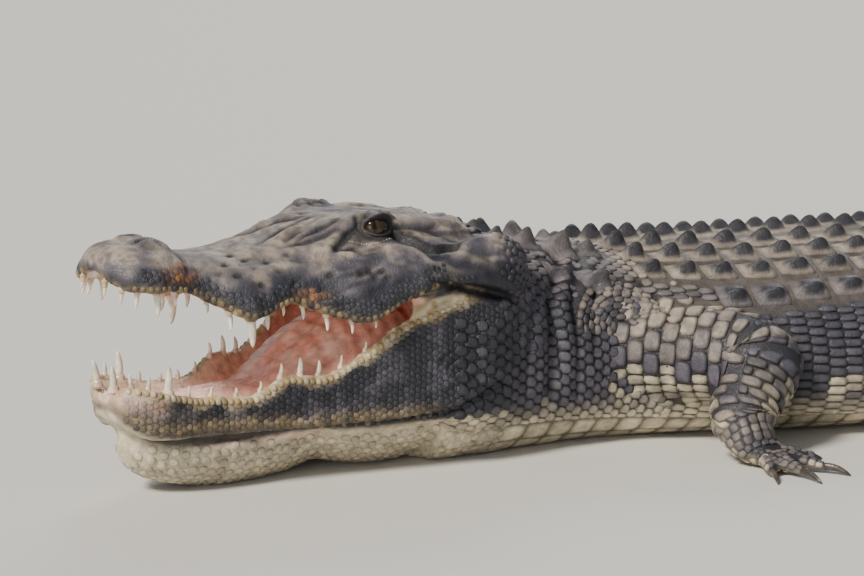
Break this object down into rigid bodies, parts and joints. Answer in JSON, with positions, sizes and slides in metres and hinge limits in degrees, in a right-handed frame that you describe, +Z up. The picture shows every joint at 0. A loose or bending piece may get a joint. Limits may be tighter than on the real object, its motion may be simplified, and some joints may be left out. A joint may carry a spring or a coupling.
{
  "type": "american alligator",
  "caption": "Life-size still model of an adult alligator resting on its belly, mouth open and head turned to its left, with keeled back scutes and a crested tail.",
  "frame": {"origin": "on the floor, under the middle of the animal's box", "axes": "+X along the trunk from the shoulders towards the tail, +Y to the animal's right, +Z up"},
  "size_m": [2.9408, 1.1268, 0.2794],
  "materials": {
    "hide": "scaly hide, slate black to purple grey, satin",
    "scutes": "keeled bony plates, slate, satin",
    "scales": "small horny scales, satin",
    "belly": "cream scales, satin",
    "mouth": "moist pink flesh, glossy",
    "teeth": "ivory, glossy",
    "claws": "dark horn, satin",
    "eye": "dark wet eye, mirror gloss"
  },
  "bodies": {
    "root": {"head": "hide", "lower_jaw": "hide", "neck": "hide", "torso_front": "hide", "torso_middle": "hide", "torso_rear": "hide", "tail_1": "hide", "tail_2": "hide", "tail_3": "hide", "tail_4": "hide", "tail_5": "hide", "left_arm_upper": "hide", "left_arm_lower": "hide", "left_arm_foot": "hide", "right_arm_upper": "hide", "right_arm_lower": "hide", "right_arm_foot": "hide", "left_leg_upper": "hide", "left_leg_lower": "hide", "left_leg_foot": "hide", "right_leg_upper": "hide", "right_leg_lower": "hide", "right_leg_foot": "hide", "tongue": "mouth", "eye_left": "eye", "eye_right": "eye"}
  },
  "joints": []
}
